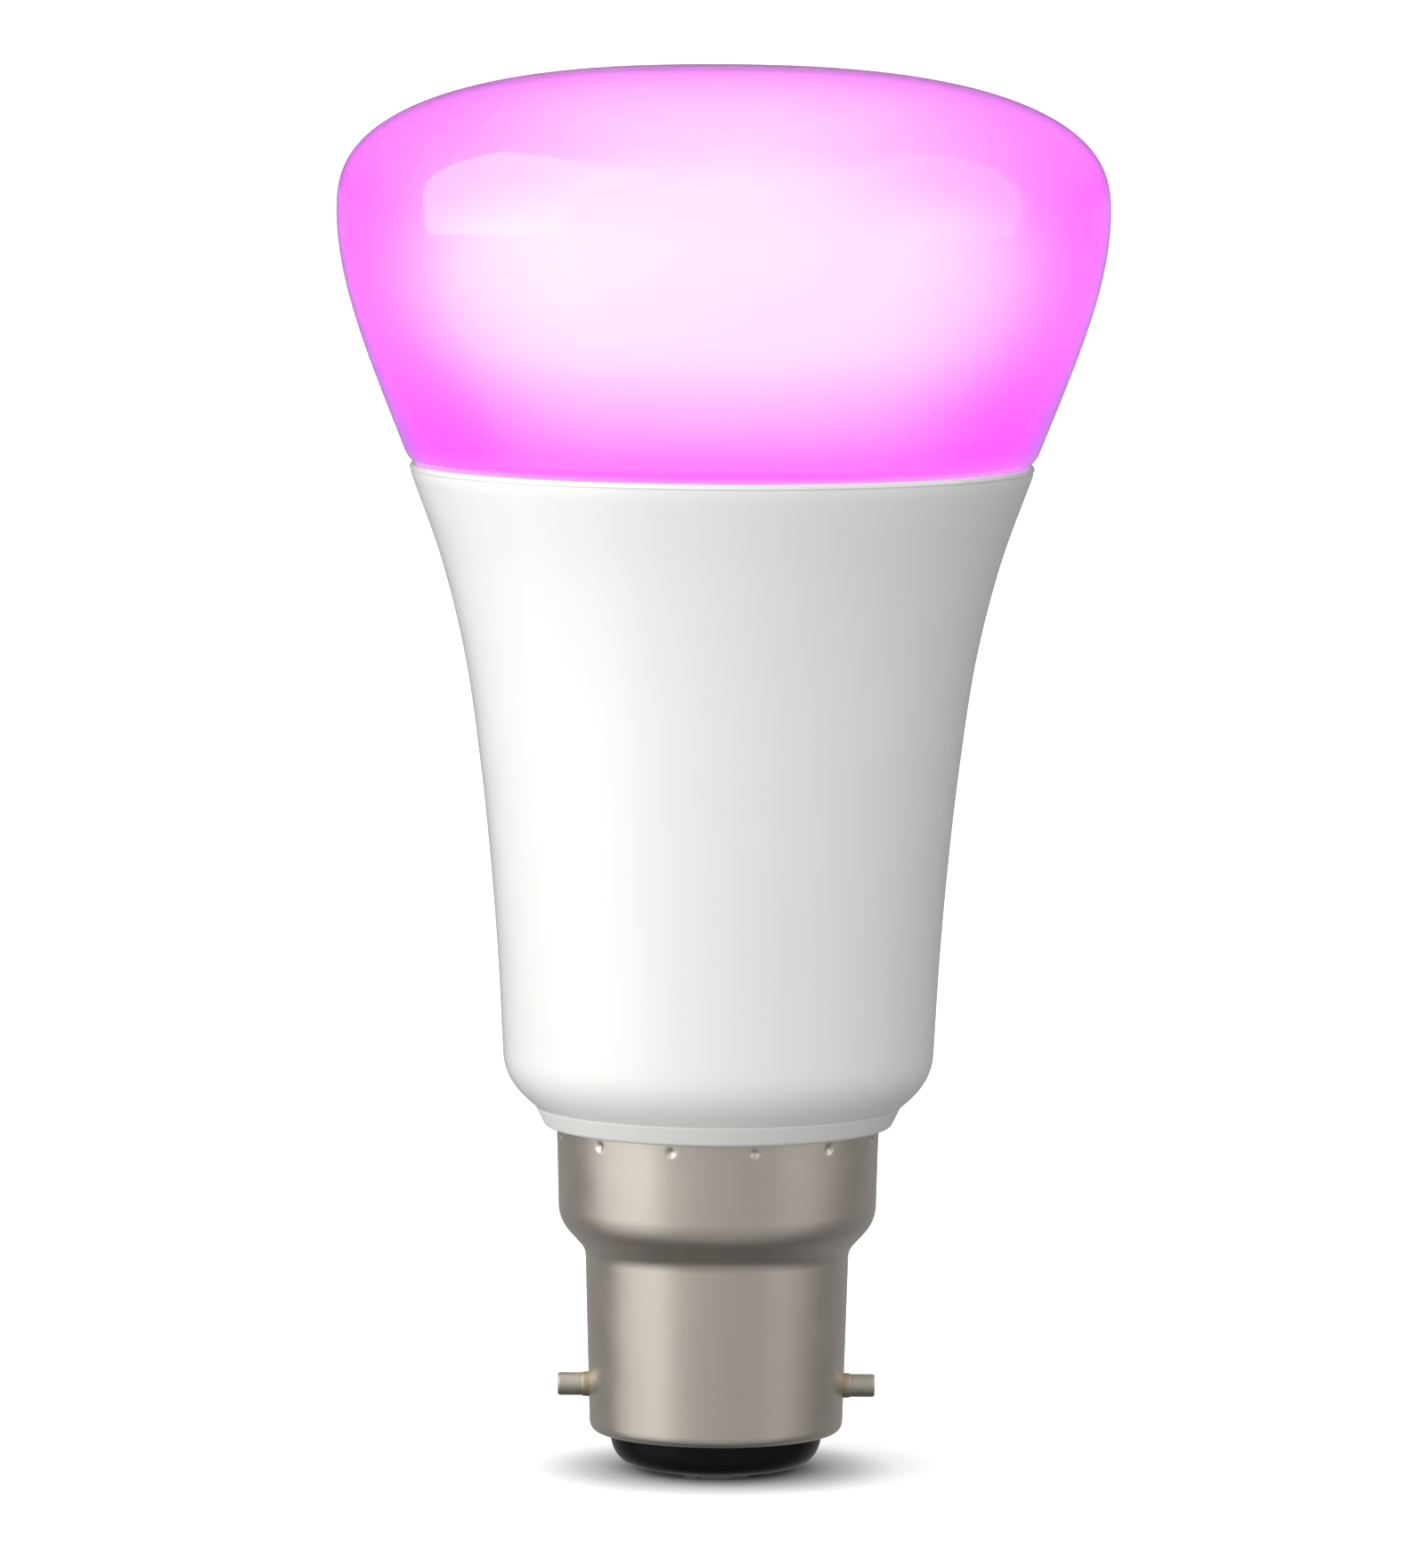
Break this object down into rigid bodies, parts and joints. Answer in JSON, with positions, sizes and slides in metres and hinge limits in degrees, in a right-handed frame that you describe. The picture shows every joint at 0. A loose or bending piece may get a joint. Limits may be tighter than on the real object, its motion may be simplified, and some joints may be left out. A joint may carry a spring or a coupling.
{
  "type": "smart light bulb",
  "caption": "Smart colour light bulb: a lit opal dome that flares out from a tapered white body, on a metal bayonet cap with a black insulator.",
  "frame": {"origin": "on the bulb's axis, in the plane of the two contact faces that it stands on", "axes": "+Z along the bulb's axis from the contacts to the top of the dome, X along the bayonet pins, Y through the two contacts"},
  "size_m": [0.0654, 0.0654, 0.1194],
  "materials": {
    "dome_opal": "glossy opal polycarbonate, lit magenta",
    "mixer_opal": "opal diffuser, lit",
    "housing_white": "glossy white",
    "cup_white": "satin white",
    "cap_nickel": "drawn, satin nickel plate",
    "contact_tin": "tinned, dull",
    "cap_black": "glossy black",
    "aluminium": "pressed, satin",
    "gap_pad": "matt silicone pad",
    "seal_silicone": "cured silicone bead",
    "board_green": "solder-masked glass-fibre board",
    "board_white": "white solder mask on aluminium",
    "reflector_white": "matt white",
    "black_plastic": "moulded, matt",
    "antenna_copper": "bare copper foil",
    "ferrite": "sintered, matt dark grey",
    "winding_tape": "yellow polyester tape",
    "capacitor_sleeve": "dark blue shrink sleeve",
    "film_yellow": "yellow moulded box",
    "varistor_blue": "blue epoxy coat",
    "resistor_green": "grey-green flameproof coat",
    "wire_brown": "brown insulation",
    "wire_blue": "blue insulation",
    "tin_plate": "bright tin plate",
    "led_red": "clear-lensed package",
    "led_green": "clear-lensed package",
    "led_blue": "clear-lensed package",
    "led_white": "phosphor-filled package"
  },
  "bodies": {
    "root": {"cap_shell": "cap_nickel", "bayonet_pin_left": "cap_nickel", "bayonet_pin_right": "cap_nickel", "cap_insulator": "cap_black", "contact_live": "contact_tin", "contact_neutral": "contact_tin", "live_wire": "wire_brown", "neutral_wire": "wire_blue", "housing": "housing_white", "driver_cup": "cup_white", "heat_sink": "aluminium", "spreader_plate": "aluminium", "thermal_pad": "gap_pad", "led_board": "board_white", "led_screw_1": "tin_plate", "led_screw_2": "tin_plate", "led_screw_3": "tin_plate", "led_red_1": "led_red", "led_red_2": "led_red", "led_red_3": "led_red", "led_green_1": "led_green", "led_green_2": "led_green", "led_green_3": "led_green", "led_blue_1": "led_blue", "led_blue_2": "led_blue", "led_blue_3": "led_blue", "led_white_1": "led_white", "led_white_2": "led_white", "led_white_3": "led_white", "reflector_ring": "reflector_white", "mixing_diffuser": "mixer_opal", "diffuser_dome": "dome_opal", "dome_seal": "seal_silicone", "driver_board": "board_green", "board_header": "black_plastic", "header_socket": "cup_white", "radio_board": "board_green", "radio_shield": "tin_plate", "antenna_trace": "antenna_copper", "transformer_core": "ferrite", "transformer_bobbin": "black_plastic", "transformer_winding": "winding_tape", "bulk_capacitor": "capacitor_sleeve", "output_capacitor_1": "capacitor_sleeve", "output_capacitor_2": "capacitor_sleeve", "film_capacitor": "film_yellow", "bridge_rectifier": "black_plastic", "power_transistor": "black_plastic", "output_diode": "black_plastic", "controller_ic": "black_plastic", "led_driver_ic": "black_plastic", "channel_inductor_1": "ferrite", "channel_inductor_2": "ferrite", "varistor": "varistor_blue", "fuse_resistor": "resistor_green", "input_inductor": "ferrite"}
  },
  "joints": []
}
